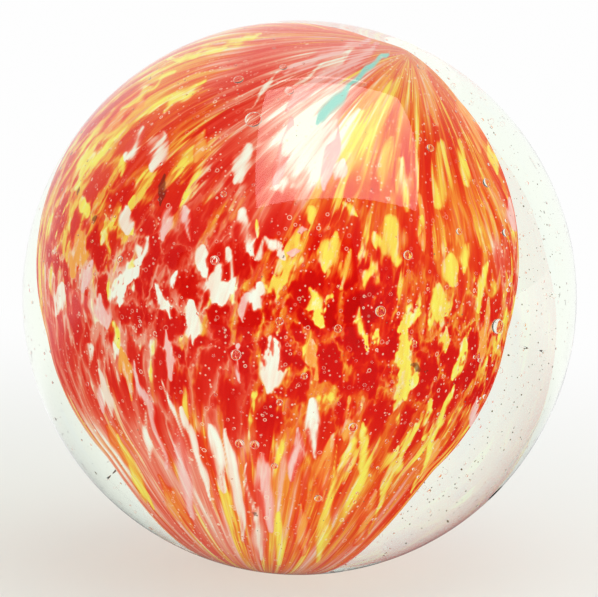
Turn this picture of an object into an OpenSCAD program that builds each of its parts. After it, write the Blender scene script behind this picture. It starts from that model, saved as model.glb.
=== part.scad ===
// Handmade glass marble: an opaque coloured core, cased in a ball of clear bubbly glass.
//
// The core is a white body. Its skin is a mosaic of red, pink, orange, yellow and teal glass that
// was picked up hot and drawn out towards two poles. The core lies a little to the left in the
// ball and its poles don't face each other, so the clear casing is thickest on the right.
//
// Everything inside is laid out as it looks from the front: a place is given by where it is seen
// through the clear glass, and the refraction functions work out where it really lies. In the
// layout frame X is right, Y is away from the viewer, Z is up and the ball's centre is zero.

/* [Ball] */
// Diameter of the clear ball
ball_d = 44.5; // [40:0.5:60]
// Refractive index of the clear glass
glass_index = 1.5; // [1.4:0.01:1.6]
// Angle of the viewpoint over the horizontal
view_height = 10; // [0:1:30]

/* [Core] */
// Distance of the core's centre to the left of the ball's centre
core_shift = 1.3; // [0:0.1:2.5]
// Diameter of the upper drop's round end
upper_ball_d = 26; // [20:0.5:28]
// Height of the upper drop's round end over the lower one's
upper_rise = 2.2; // [0.5:0.1:3]
// Lean of the upper tip to the right
upper_lean = 29; // [5:1:35]
// Lean of the upper tip towards the viewer
upper_nod = 16; // [0:1:25]
// Depth of clear glass over the upper tip
upper_tip_depth = 0.6; // [0.3:0.1:2]
// Diameter of the lower drop's round end
lower_ball_d = 25; // [20:0.5:28]
// Lean of the lower tip to the left
lower_lean = 2; // [0:1:30]
// Lean of the lower tip away from the viewer
lower_nod = 12; // [0:1:25]
// Depth of clear glass over the lower tip
lower_tip_depth = 1.5; // [0.3:0.1:3]

/* [Mosaic] */
// Thickness of the coloured skin on the core
skin_t = 0.6; // [0.3:0.1:1]
// Width of the front's flecks, as a share of the widths in their lists
fleck_fullness = 1.15; // [0.7:0.05:1.3]
// Number of streaks drawn out to each pole on the far side
pole_streaks = 8; // [4:1:12]
// Length of the pole streaks
pole_streak_len = 4; // [2:0.5:6]
// Width of the pole streaks
pole_streak_w = 1; // [0.4:0.1:1.6]
// Number of flecks in each row round the far side
far_flecks = 9; // [5:1:12]
// Length of the far side's flecks
far_fleck_len = 4; // [2:0.5:5]
// Width of the far side's flecks
far_fleck_w = 1.6; // [0.6:0.1:2.4]

/* [Bubbles and wear] */
// Depth under the surface of the bubbles' centres
bubble_depth = 2.6; // [1.5:0.1:4]
// Width of the rim chip
chip_w = 1.6; // [0.8:0.1:3]
// Depth of the rim chip
chip_depth = 0.3; // [0.1:0.05:0.6]

/* [Hidden] */
$fn = 72;

ball_r = ball_d / 2;
// The core is two drops that share a middle, each drawn out to a pole of its own
lower_at = [-core_shift, 0, 0];
upper_at = lower_at + [0, 0, upper_rise];
upper_way = [sin(upper_lean) * cos(upper_nod), -sin(upper_nod), cos(upper_lean) * cos(upper_nod)];
lower_way = [-sin(lower_lean) * cos(lower_nod), sin(lower_nod), -cos(lower_lean) * cos(lower_nod)];
// A drop is its round end's centre and radius, its way out to the pole and its length that way
upper_drop = [upper_at, upper_ball_d / 2, upper_way, room(upper_at, upper_way) - upper_tip_depth];
lower_drop = [lower_at, lower_ball_d / 2, lower_way, room(lower_at, lower_way) - lower_tip_depth];
core_at = (upper_at + lower_at) / 2;
core_r = min(upper_ball_d, lower_ball_d) / 2;
// A drop's cone passes its round end's centre at this share of the radius, for a slight shoulder
shoulder = 0.985;
// Range of a fleck's ragged edge, as a share of its width
ragged = [0.7, 1.15];
fleck_points = 8;
// Steps of the search for the core's surface, each halving what is left
search_steps = 20;

// The lists of the front's flecks and bubbles count in steps of this share of the core's radius
seen_step = 0.08;
// Flecks on the side that faces the viewer: where both ends are seen, and the width
white_seen = [
  [-11, 13, -11.8, 10.4, 1.3], [-4, 12, -5.2, 9.3, 1.2], [-14, 7.2, -13.9, 5.1, 1.2],
  [-12.2, 4.8, -12.6, 3, 1.1], [-12.8, 3.2, -14.4, -0.5, 0.9], [-7.8, 4.2, -7.7, 1.8, 0.8],
  [-5.7, 3.8, -5.4, 0.6, 0.9], [-6.6, 2.4, -6.5, -0.4, 1.9], [-4.6, 7, -3.8, 3.5, 1],
  [-2.6, 5, -1.1, 3.2, 1.1], [-3.4, 1.1, -3.6, -1.1, 1.1], [-11.6, 1.2, -10.3, -1.5, 0.8],
  [-8.8, -0.2, -8.4, -4, 0.9], [-19.2, 1.1, -19.4, -1.4, 0.8], [-12.6, 13.6, -13.8, 11, 0.9],
  [-2, -3.4, -2.3, -7.4, 1.5], [1, -8.2, 1.2, -12.6, 1], [-12.5, -9, -11.8, -13, 0.7],
  [-7, -10.2, -6.1, -15.4, 0.8], [-5.9, -10.6, -4.3, -19.4, 0.8], [-17.1, -3.6, -16.8, -5.6, 0.6],
  [-0.2, 13.8, -1.2, 11.4, 1.1], [-9.3, -9, -7.2, -16.2, 0.7], [-16, -5.8, -15, -9.8, 0.5],
  [-3.4, -16.6, -3, -21, 0.6]
];
yellow_seen = [
  [2.8, 5, 2, 2.2, 1.2], [4, 4, 3.5, 0.8, 1.2], [7.5, 6.1, 7.9, 3, 2], [6.2, 5.1, 6.3, 3.8, 0.6],
  [0.7, 0.8, 1.9, -2.3, 1.2], [4.7, -0.8, 5.2, -4.2, 0.8], [0.8, 7.3, 1, 5.8, 0.7],
  [11.1, 1, 11.3, -2.1, 1.1], [12.1, 3.4, 12.3, 1.1, 1.1], [13.6, 4.6, 13.2, 1.8, 0.8],
  [14.9, 3, 14.1, -1.3, 0.7], [8.4, -1.6, 8.4, -8.2, 1], [11.3, 12.5, 11.3, 7.4, 1.7],
  [13, 12.6, 13.4, 9, 0.8], [8.2, 11, 8.8, 6.9, 0.9], [-16.5, 12.2, -18, 8.6, 0.8],
  [-13.8, 11.6, -14.5, 9.7, 0.7], [-7.5, 17.4, -11, 14.9, 0.8], [-17.3, 7.8, -17.6, 5.9, 0.9],
  [7.9, 18.1, 5.6, 13.3, 0.8], [7.4, 12.8, 6.4, 8.5, 1.2], [10.6, -8, 9.8, -11.5, 0.8],
  [5.3, -10.2, 5, -14.4, 0.8], [7.8, -12.2, 6.6, -15.7, 0.8], [2.3, -15.8, 1.6, -21.1, 0.9],
  [-1.7, -17.4, -1.6, -21.4, 0.7], [-13.8, -13.4, -12.3, -16.6, 0.6], [9.8, 6.5, 9.6, 5.1, 0.5],
  [9.5, -1.1, 7.8, -2.6, 0.9], [-15, -1.8, -14.6, -3.8, 0.6], [13.6, -2.6, 12.4, -6.6, 0.7],
  [11.8, -2.6, 11.5, -4.4, 0.7]
];
pink_seen = [
  [4.2, 19.7, -1, 15.2, 1.6], [0.2, 15.5, -2.2, 7.8, 3], [3, 14.2, 2.1, 7.8, 2.8],
  [-16, 0.2, -15.4, -2.4, 0.8], [-15.8, -7, -15.7, -9.1, 0.8], [17, 8.2, 17.4, 5.4, 0.8],
  [-9.9, -10.6, -8.6, -17.8, 0.9], [-3, -12.6, -2.4, -18.6, 1.2], [-16.6, 2.9, -17.4, 0.6, 0.7],
  [-10.4, 7.4, -11, 4.6, 0.7], [-9.3, 7.4, -8.8, 4.6, 0.9], [-4.2, 0, -4.5, -1.9, 1],
  [14.4, -8, 13.6, -10.6, 0.7], [-10.8, -2.6, -10.2, -6.6, 0.7], [-5, -3.8, -4.8, -6.6, 0.7],
  [0, -10.6, -0.6, -14.6, 0.8]
];
orange_seen = [
  [7, 18, 5, 15.2, 1], [9.2, 17.6, 10.6, 13.9, 1.2], [13, 15.6, 14.4, 11.8, 1.1],
  [-17.6, 5.8, -18, 1.8, 1], [2.6, -11, 1.8, -16.2, 1.1], [6, -15.4, 4.6, -19.8, 1.1],
  [-11.2, -14.4, -8.5, -19, 0.8], [-15.4, -10.2, -12.8, -14.7, 0.8], [9.6, 8.2, 9.8, 3.8, 0.9],
  [-12, 17, -15.6, 13.4, 1], [15.2, -0.2, 14.4, -5, 0.8], [0.8, -3.4, 1.4, -6.6, 1],
  [4, -7.8, 3.6, -11.4, 0.9], [-7.6, 13.4, -8.3, 11, 0.8], [-14.4, -3.8, -13.4, -8.2, 0.8],
  [0, -16.6, 0.2, -20.6, 0.9], [11.2, -11.4, 9.6, -14.6, 0.9]
];
teal_seen = [[6.3, 18.4, 3.6, 16.8, 0.4], [4.2, 17.3, 1.5, 14.2, 0.8]];
// Bubbles seen from the front: across, up and diameter
bubbles_seen = [
  [-3.7, 14.3, 1.3], [-4.9, 17.5, 0.9], [-1.3, 18.5, 0.7], [-0.8, 16.6, 0.8], [9.7, 18.5, 0.8],
  [10.5, 12, 0.7], [15, 9.2, 0.8], [16.5, 5.2, 0.7], [12.8, 5.3, 0.6], [8.7, 3.4, 0.8],
  [-6.8, 3, 0.7], [-6.1, 8.3, 0.6], [-1.6, -1.9, 0.7], [3.1, -2.5, 0.7], [6.5, -1.1, 0.8],
  [-5.1, -4.6, 0.8], [15.9, -2.3, 1.1], [-1.6, -8.4, 0.6], [4.3, -10.4, 0.7], [-3.6, -11.8, 0.8],
  [-2, -13.5, 0.6], [1.5, -16.1, 0.6]
];
// Rows of flecks round the far side: angle from the upper pole, and the shift of the row's start
far_rows = [[50, 0], [74, 9], [98, 3], [122, 12], [144, 6]];
// Longitudes that the far side covers, counted from the viewer
far_span = [84, 276];
// Angle from the pole at which its streaks begin
pole_streak_start = 13;
// The colours that far flecks and pole streaks take in turn
turns = ["yellow", "white", "orange", "pink", "yellow", "orange"];

// Axis between the two poles, and the two ways across it, of which the first faces the viewer
axis = unit(upper_way - lower_way);
to_front = unit([0, -1, 0] + axis.y * axis);
to_side = cross(axis, to_front);

function unit(v) = v / norm(v);

// Distance from a point inside the ball to its surface
function room(at, way) = let (along = at * way) sqrt(along * along - at * at + ball_r * ball_r) - along;

// How near a drop's cone passes to its round end's centre, and the cone's half angle
function near_pass(drop) = shoulder * drop[1];
function nose(drop) = asin(near_pass(drop) / drop[3]);
function in_drop(p, drop) =
  let (q = p - drop[0], up = q * drop[2], off = norm(q - up * drop[2]), half = nose(drop))
  norm(q) < drop[1] || (up > near_pass(drop) * sin(half) && off < (drop[3] - up) * tan(half));
function in_core(p) = in_drop(p, upper_drop) || in_drop(p, lower_drop);

// The first point of the core on a line, between a near point outside it and a far one inside
function meet_core(from, way, near, far, steps = search_steps) =
  let (mid = (near + far) / 2)
  steps == 0 ? from + far * way :
  in_core(from + mid * way) ? meet_core(from, way, near, mid, steps - 1)
  : meet_core(from, way, mid, far, steps - 1);

// Where a level sight line enters the ball, and its way once the glass has bent it
function entry(x, z) = [x, -sqrt(ball_r * ball_r - x * x - z * z), z];
function bent(at) =
  let (out = unit(at), cos_in = -out.y, k = 1 / glass_index)
  k * [0, 1, 0] + (k * cos_in - sqrt(1 - k * k * (1 - cos_in * cos_in))) * out;

// The core's point that is seen at (x, z), and the one along a way out from its centre
function seen(x, z) =
  let (at = entry(x, z), way = bent(at))
  meet_core(at, way, 0, (core_at - at) * way);
function on_core(way) = meet_core(core_at + ball_d * way, -way, 0, ball_d);

// A point at a given depth under the ball's surface that is seen at (x, z)
function in_glass(x, z, depth) =
  let (at = entry(x, z), way = bent(at), b = at * way, r = ball_r - depth)
  at + (-b - sqrt(b * b - ball_r * ball_r + r * r)) * way;

// A way out from the core's centre, by angle from a pole and longitude
function way_to(colatitude, longitude, pole = axis) =
  let (front = unit(to_front - (to_front * pole) * pole), side = cross(pole, front))
  cos(colatitude) * pole + sin(colatitude) * (cos(longitude) * front + sin(longitude) * side);

// A fleck is the two points of the core at its ends, its width and a seed for its ragged edge
function seen_flecks(list, seed) = [
  for (i = [0 : len(list) - 1])
    let (f = list[i] * seen_step * core_r)
      [seen(f[0], f[1]), seen(f[2], f[3]), f[4] * fleck_fullness, seed + i]
];
function far_flecks_of(colour) = [
  for (row = [0 : len(far_rows) - 1], i = [0 : far_flecks - 1])
    if (turns[(2 * row + i) % len(turns)] == colour)
      let (
        seed = 100 * row + i,
        step = (far_span[1] - far_span[0]) / far_flecks,
        longitude = far_span[0] + far_rows[row][1] + (i + rands(-0.2, 0.2, 1, seed)[0]) * step,
        half = far_fleck_len / core_r / 2 * 180 / PI * rands(0.7, 1.2, 1, seed + 1)[0],
        width = far_fleck_w * rands(0.6, 1.3, 1, seed + 2)[0]
      )
      [
        on_core(way_to(far_rows[row][0] - half, longitude)),
        on_core(way_to(far_rows[row][0] + half, longitude)), width, seed
      ]
];
function pole_streaks_of(colour, pole, seed) = [
  for (i = [0 : pole_streaks - 1])
    if (turns[i % len(turns)] == colour)
      let (
        step = (far_span[1] - far_span[0]) / pole_streaks,
        longitude = far_span[0] + (i + rands(-0.2, 0.2, 1, seed + i)[0]) * step,
        near = pole_streak_start,
        far = near + pole_streak_len / core_r * 180 / PI
      )
      [
        on_core(way_to(near, longitude, pole)), on_core(way_to(far, longitude, pole)),
        pole_streak_w * rands(0.6, 1.2, 1, seed + i + 1)[0], seed + i
      ]
];

function flecks_of(colour, list, seed) = concat(
  seen_flecks(list, seed), far_flecks_of(colour), pole_streaks_of(colour, upper_way, seed + 50),
  pole_streaks_of(colour, lower_way, seed + 80)
);
white_places = flecks_of("white", white_seen, 1000);
yellow_places = flecks_of("yellow", yellow_seen, 2000);
orange_places = flecks_of("orange", orange_seen, 3000);
pink_places = flecks_of("pink", pink_seen, 4000);
teal_places = seen_flecks(teal_seen, 5000);

// Turns the layout frame to the object's own, with the viewpoint over the horizontal
module as_seen() {
  rotate([-view_height, 0, 0]) children();
}

module turned_to(way) {
  rotate([0, acos(way.z), atan2(way.y, way.x)]) children();
}

// A round ball drawn out to a pointed cone, all pulled in by an inset
module drop_body(drop, inset) {
  half = nose(drop);
  r = drop[1] - inset;
  near = near_pass(drop) - inset;
  translate(drop[0]) turned_to(drop[2]) rotate_extrude() {
    intersection() {
      circle(r = r);
      translate([0, -r]) square([r, 2 * r]);
    }
    polygon([[0, 0], near * [cos(half), sin(half)], [0, near / sin(half)]]);
  }
}

module core_body(inset = 0) {
  drop_body(upper_drop, inset);
  drop_body(lower_drop, inset);
}

// A drawn-out splinter with ragged edges, lengthways along Y
module splinter(length, width, seed) {
  rag = rands(ragged[0], ragged[1], fleck_points, seed);
  polygon([
    for (i = [0 : fleck_points - 1])
      let (turn = 360 * i / fleck_points)
      rag[i] * [sin(turn) * width / 2, cos(turn) * length / 2]
  ]);
}

// Bars that point out from the core's centre, one through each fleck
module bars(flecks) {
  for (f = flecks) {
    middle = (f[0] + f[1]) / 2 - core_at;
    out = unit(middle);
    span = f[1] - f[0];
    along = unit(span - (span * out) * out);
    side = cross(along, out);
    multmatrix([
      [side.x, along.x, out.x, core_at.x], [side.y, along.y, out.y, core_at.y],
      [side.z, along.z, out.z, core_at.z]
    ])
      translate([0, 0, core_r / 2]) linear_extrude(ball_d) splinter(norm(span), f[2], f[3]);
  }
}

// The skin's glass within some flecks, but for those that lie over them
module inlay(flecks, over) {
  difference() {
    intersection() {
      core_body();
      bars(flecks);
    }
    core_body(skin_t);
    bars(over);
  }
}

module clear_glass() {
  color([0.9, 0.97, 0.9, 0.3]) difference() {
    sphere(r = ball_r, $fn = 144);
    as_seen() {
      core_body();
      bubbles();
      rim_chip();
    }
  }
}

module bubbles() {
  for (b = bubbles_seen * seen_step * core_r)
    translate(in_glass(b[0], b[1], bubble_depth)) sphere(d = b[2], $fn = 24);
}

// A shell-shaped flake lost from the surface, low on the right
module rim_chip() {
  chip_r = (chip_w * chip_w / 4 + chip_depth * chip_depth) / (2 * chip_depth);
  turned_to(unit([0.7, -0.12, -0.7])) translate([0, 0, ball_r + chip_r - chip_depth])
    sphere(r = chip_r);
}

module white_core() {
  color("ivory") as_seen() {
    core_body(skin_t);
    difference() {
      intersection() {
        core_body();
        bars(white_places);
      }
      bars(teal_places);
    }
  }
}

module red_skin() {
  color("red") as_seen() difference() {
    core_body();
    core_body(skin_t);
    bars(concat(teal_places, white_places, yellow_places, pink_places, orange_places));
  }
}

module pink_flecks() {
  color("pink") as_seen() inlay(pink_places, concat(teal_places, white_places, yellow_places));
}

module orange_flecks() {
  color("orange") as_seen()
    inlay(orange_places, concat(teal_places, white_places, yellow_places, pink_places));
}

module yellow_flecks() {
  color("gold") as_seen() inlay(yellow_places, concat(teal_places, white_places));
}

module teal_streak() {
  color("mediumturquoise") as_seen() inlay(teal_places, []);
}

clear_glass();
white_core();
red_skin();
pink_flecks();
orange_flecks();
yellow_flecks();
teal_streak();
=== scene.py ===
# %% [markdown]
# # A handmade marble with a mosaic core
#
# The marble is one fused ball of glass. A white body was rolled in chips of red, orange, pink,
# yellow and white glass, drawn out to two poles and cased in clear glass. This lesson dresses the
# imported model: it makes the mosaic core, the bubbly clear casing and a small studio for them.
#
# ## The frame
# The imported model comes first, because it fixes the size and place of everything else.

# %% Load the imported model
import math
import random

import bmesh
import bpy
import numpy as np
from mathutils import Matrix, Vector, noise


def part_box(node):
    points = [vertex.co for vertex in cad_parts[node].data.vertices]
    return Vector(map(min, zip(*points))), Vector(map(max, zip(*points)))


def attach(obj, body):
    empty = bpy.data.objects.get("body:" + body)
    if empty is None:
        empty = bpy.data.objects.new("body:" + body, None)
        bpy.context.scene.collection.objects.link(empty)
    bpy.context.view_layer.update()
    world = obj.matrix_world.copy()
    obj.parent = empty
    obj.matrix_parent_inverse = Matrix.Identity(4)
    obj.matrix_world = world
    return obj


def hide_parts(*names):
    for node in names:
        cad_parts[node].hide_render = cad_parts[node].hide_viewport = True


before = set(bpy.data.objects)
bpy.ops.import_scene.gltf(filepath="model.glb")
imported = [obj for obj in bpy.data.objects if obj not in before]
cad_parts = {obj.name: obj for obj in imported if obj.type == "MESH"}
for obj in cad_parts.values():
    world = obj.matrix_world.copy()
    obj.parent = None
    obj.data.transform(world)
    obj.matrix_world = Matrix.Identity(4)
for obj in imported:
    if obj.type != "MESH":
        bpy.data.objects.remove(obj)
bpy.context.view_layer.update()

print("nodes:", ", ".join(sorted(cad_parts)))

# %% Sizes of the ball
MM = 0.001
BALL_R = (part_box("clear_glass")[1].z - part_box("clear_glass")[0].z) / 2 / MM
GLASS_INDEX = 1.5
print(f"ball: {2 * BALL_R:.2f} mm across")

# %% [markdown]
# ## The way the marble is looked at
# The marble has a best side, which faces a viewpoint a little above the horizon. Everything in the
# mosaic is laid out from there, so the lesson keeps a layout frame: X to the right, Y away from the
# viewer and Z up in the view, in millimetres, with the ball's centre at zero. A small matrix turns
# it to the object's own frame.

# %% Layout frame and camera
VIEW_HEIGHT = math.radians(10)
CAMERA_AWAY = 400.0
SENSOR_WIDTH = 36
LAYOUT = np.array([
    [1, 0, 0],
    [0, math.cos(VIEW_HEIGHT), -math.sin(VIEW_HEIGHT)],
    [0, math.sin(VIEW_HEIGHT), math.cos(VIEW_HEIGHT)],
])
# In pixels of the render
RENDER_WIDTH = 598
RIM_RADIUS = 277.4
RIM_OFFSET = (0.5, 0.9)


def to_object(points):
    """Layout millimetres to the object's own metres."""
    return np.asarray(points, float) @ LAYOUT * MM


def make_camera():
    rim_angle = math.asin(BALL_R / CAMERA_AWAY)
    half_width = math.tan(rim_angle) * RENDER_WIDTH / 2 / RIM_RADIUS
    data = bpy.data.cameras.new("front_camera")
    data.sensor_width = SENSOR_WIDTH
    data.lens = SENSOR_WIDTH / 2 / half_width
    data.clip_start = 10 * MM
    data.shift_x, data.shift_y = (-offset / RENDER_WIDTH for offset in RIM_OFFSET)
    camera = bpy.data.objects.new("front_camera", data)
    camera.location = to_object([0, -CAMERA_AWAY, 0])
    camera.rotation_euler = (math.pi / 2 - VIEW_HEIGHT, 0, 0)
    bpy.context.scene.collection.objects.link(camera)
    bpy.context.scene.camera = camera
    return camera


print(f"camera lens: {make_camera().data.lens:.0f} mm")

# %% [markdown]
# ## The core's form
# The core is two drops that share a middle. Each is a round end drawn out to a pointed cone, as
# glass is when it is pulled off the rod. A subdivided cube pushed out to that form gives an even
# mesh with no crowded poles. Its points are drawn a little towards the viewer, where the mosaic
# is finest.

# %% The two drops
def unit(v):
    v = np.asarray(v, float)
    return v / np.linalg.norm(v, axis=-1, keepdims=True)


def leaning(lean, nod, up):
    """A way up or down that leans sideways by one angle and nods towards the viewer by another."""
    lean, nod = math.radians(lean), math.radians(nod)
    return up * np.array([
        math.sin(lean) * math.cos(nod), -math.sin(nod), math.cos(lean) * math.cos(nod)
    ])


SHOULDER = 0.985
CORE_ASIDE = -1.3
UPPER_RISE, UPPER_RADIUS, UPPER_TIP_DEPTH = 2.2, 13.0, 0.6
UPPER_LEAN, UPPER_NOD = 29, 16
LOWER_RADIUS, LOWER_TIP_DEPTH = 12.5, 1.5
LOWER_LEAN, LOWER_NOD = 2, 12


def drop(centre, radius, way, tip_depth):
    """A round end's centre and radius, the way to its tip and the length to it."""
    centre = np.array(centre, float)
    along = centre @ way
    room = math.sqrt(along ** 2 - centre @ centre + BALL_R ** 2) - along
    return centre, radius, way, room - tip_depth


UPPER = drop(
    (CORE_ASIDE, 0, UPPER_RISE), UPPER_RADIUS, leaning(UPPER_LEAN, UPPER_NOD, 1), UPPER_TIP_DEPTH
)
LOWER = drop(
    (CORE_ASIDE, 0, 0), LOWER_RADIUS, leaning(LOWER_LEAN, LOWER_NOD, -1), LOWER_TIP_DEPTH
)
MIDDLE = (UPPER[0] + LOWER[0]) / 2


def in_drop(points, the_drop):
    centre, radius, way, length = the_drop
    near = SHOULDER * radius
    half = math.asin(near / length)
    from_centre = points - centre
    up = from_centre @ way
    off = np.linalg.norm(from_centre - up[:, None] * way, axis=1)
    in_end = np.linalg.norm(from_centre, axis=1) < radius
    in_cone = (up > near * math.sin(half)) & (off < (length - up) * math.tan(half))
    return in_end | in_cone


def in_core(points):
    return in_drop(points, UPPER) | in_drop(points, LOWER)


CUT_HALVINGS = 24


def surface_along(starts, ways, near, far):
    """Where each line crosses into the core, by halving the stretch from near to far."""
    near, far = np.full(len(starts), float(near)), np.broadcast_to(far, len(starts)).astype(float)
    for _ in range(CUT_HALVINGS):
        middle = (near + far) / 2
        inside = in_core(starts + middle[:, None] * ways)
        far = np.where(inside, middle, far)
        near = np.where(inside, near, middle)
    return starts + far[:, None] * ways


print("upper tip:", (UPPER[0] + UPPER[3] * UPPER[2]).round(1), "mm in the layout")

# %% The core's mesh
CUTS = 125
FINER_IN_FRONT = 0.35
SOFTENINGS = 6


def finished(bm, name, smooth=True):
    """A mesh object at the origin, from a bmesh in metres."""
    mesh = bpy.data.meshes.new(name)
    bm.to_mesh(mesh)
    bm.free()
    mesh.polygons.foreach_set("use_smooth", [smooth] * len(mesh.polygons))
    thing = bpy.data.objects.new(name, mesh)
    bpy.context.scene.collection.objects.link(thing)
    return thing


def make_core():
    bm = bmesh.new()
    bmesh.ops.create_cube(bm, size=2)
    bmesh.ops.subdivide_edges(bm, edges=bm.edges[:], cuts=CUTS, use_grid_fill=True)
    corners = np.array([v.co for v in bm.verts])
    ways = unit(np.tan(corners * math.pi / 4))
    ways = unit(ways + FINER_IN_FRONT * np.array([0, -1, 0]))
    places = surface_along(MIDDLE + 2 * BALL_R * ways, -ways, 0, 2 * BALL_R)
    for v, spot in zip(bm.verts, to_object(places)):
        v.co = spot
    for _ in range(SOFTENINGS):
        bmesh.ops.smooth_vert(
            bm, verts=bm.verts[:], factor=0.5, use_axis_x=True, use_axis_y=True, use_axis_z=True
        )
    return finished(bm, "mosaic_core")


core = make_core()
skin = np.array([v.co for v in core.data.vertices]) @ LAYOUT.T / MM
print(f"core: {len(core.data.polygons)} faces, {np.ptp(skin[:, 2]):.1f} mm tall in the layout")

# %% [markdown]
# ## Where the core is seen
# Clear glass works as a strong lens: the core looks half as wide again as it is, and reaches the
# rim. Flecks are easiest to lay out where they are seen. So the lesson works out, for every point
# of the core, where in the view the bent sight line shows it. A line that passes the ball's
# centre at distance b turns by asin(b / R) - asin(b / nR) as it enters, which leads to one equation
# for b at each point.

# %% Sight lines through the ball
JUST_INSIDE = 0.99999
NEVER_ZERO = 1e-9
BEND_HALVINGS = 30
RIM_SHARE = math.sqrt(1 - (BALL_R / CAMERA_AWAY) ** 2)


def turned_by(b, radius):
    """The angle round the ball's centre from the camera to where a sight line reaches a radius."""
    return (
        np.arcsin(b / BALL_R) - np.arcsin(b / CAMERA_AWAY)
        - np.arcsin(b / (GLASS_INDEX * BALL_R)) + np.arcsin(b / (GLASS_INDEX * radius))
    )


def seen_at(points):
    """Across and up in the view, in millimetres at the ball, and whether it is seen at all."""
    radius = np.linalg.norm(points, axis=1)
    angle = np.arccos(np.clip(-points[:, 1] / radius, -1, 1))
    limit = np.minimum(BALL_R, GLASS_INDEX * radius) * JUST_INSIDE
    low, high = np.zeros(len(points)), limit.copy()
    for _ in range(BEND_HALVINGS):
        b = (low + high) / 2
        past = turned_by(b, radius) > angle
        high = np.where(past, b, high)
        low = np.where(past, low, b)
    shown = angle < turned_by(limit, radius)
    reach = CAMERA_AWAY * np.tan(np.arcsin(low / CAMERA_AWAY)) * RIM_SHARE
    return unit(points[:, [0, 2]] + NEVER_ZERO) * reach[:, None], shown


def sight_line(x, z):
    """Where the sight line to (x, z) enters the ball, its way inside and the length to the core."""
    eye = np.array([0, -CAMERA_AWAY, 0])
    way = unit(np.array([x / RIM_SHARE, CAMERA_AWAY, z / RIM_SHARE]))
    along = -eye @ way
    entry = eye + (along - math.sqrt(along ** 2 - eye @ eye + BALL_R ** 2)) * way
    out = entry / BALL_R
    cos_in, k = -way @ out, 1 / GLASS_INDEX
    bent = k * way + (k * cos_in - math.sqrt(1 - k * k * (1 - cos_in ** 2))) * out
    closest = (MIDDLE - entry) @ bent
    hit = surface_along(entry[None], bent[None], 0, closest)[0]
    return entry, bent, float(np.linalg.norm(hit - entry))


seen, shown = seen_at(skin)
print(f"{shown.mean():.0%} of the core's points are seen from the front")

# %% [markdown]
# ## Streaks that follow the glass
# When the core was drawn out, its chips were stretched into streaks that run from pole to pole.
# A pattern follows them only in coordinates that bend with them. So each point stores how far
# round it is, as a cosine and a sine that meet without a seam, and how far along from one pole
# to the other. Along the belt a unit is short, which gives chunky chips, and towards the poles it
# is long, which gives streaks.

# %% Flow coordinates
CHIPS_ROUND = 6.0
CHIPS_ALONG = 13.0
CHIPS_AT_POLES = 3.0
BELT_HALF = 0.17
POLE_SHARE, POLE_TAPER = 0.85, 0.7
FLOW_STEPS = 400


def flow_of(points):
    """Each point's place in the drawn-out glass, its share of the way down, and its turn."""
    from_middle = unit(points - MIDDLE)
    from_upper = np.arccos(np.clip(from_middle @ UPPER[2], -1, 1))
    from_lower = np.arccos(np.clip(from_middle @ LOWER[2], -1, 1))
    share = from_upper / (from_upper + from_lower)
    axis = unit((1 - share)[:, None] * UPPER[2] - share[:, None] * LOWER[2])
    viewer = np.array([0, -1, 0])
    towards = unit(viewer - axis * (axis @ viewer)[:, None])
    across = np.cross(axis, towards)
    turn = np.arctan2((from_middle * across).sum(1), (from_middle * towards).sum(1))
    steps = np.linspace(0, 1, FLOW_STEPS)
    pace = CHIPS_AT_POLES + CHIPS_ALONG * np.exp(-((steps - 0.5) / BELT_HALF) ** 2)
    along = np.interp(share, steps, np.cumsum(pace) / FLOW_STEPS)
    fullness = np.sin(math.pi * share) ** POLE_TAPER
    wide = CHIPS_ROUND * (POLE_SHARE + (1 - POLE_SHARE) * fullness)
    flow = np.stack([wide * np.cos(turn), wide * np.sin(turn), along], 1)
    return flow, share, turn


flow, pole_share, turn = flow_of(skin)
print(f"flow runs over {np.ptp(flow[:, 2]):.1f} chips from pole to pole")

# %% [markdown]
# ## The flecks
# Each fleck of the front is a short stroke: where its two ends are seen, and its width, all in
# millimetres. What a point stores for a colour is how deep it lies in the nearest stroke: 1 on
# its spine, 0 at its edge and less than 0 outside. That field is smooth, so a coarse mesh can
# carry it, and the material cuts a crisp, ragged edge from it.

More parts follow.
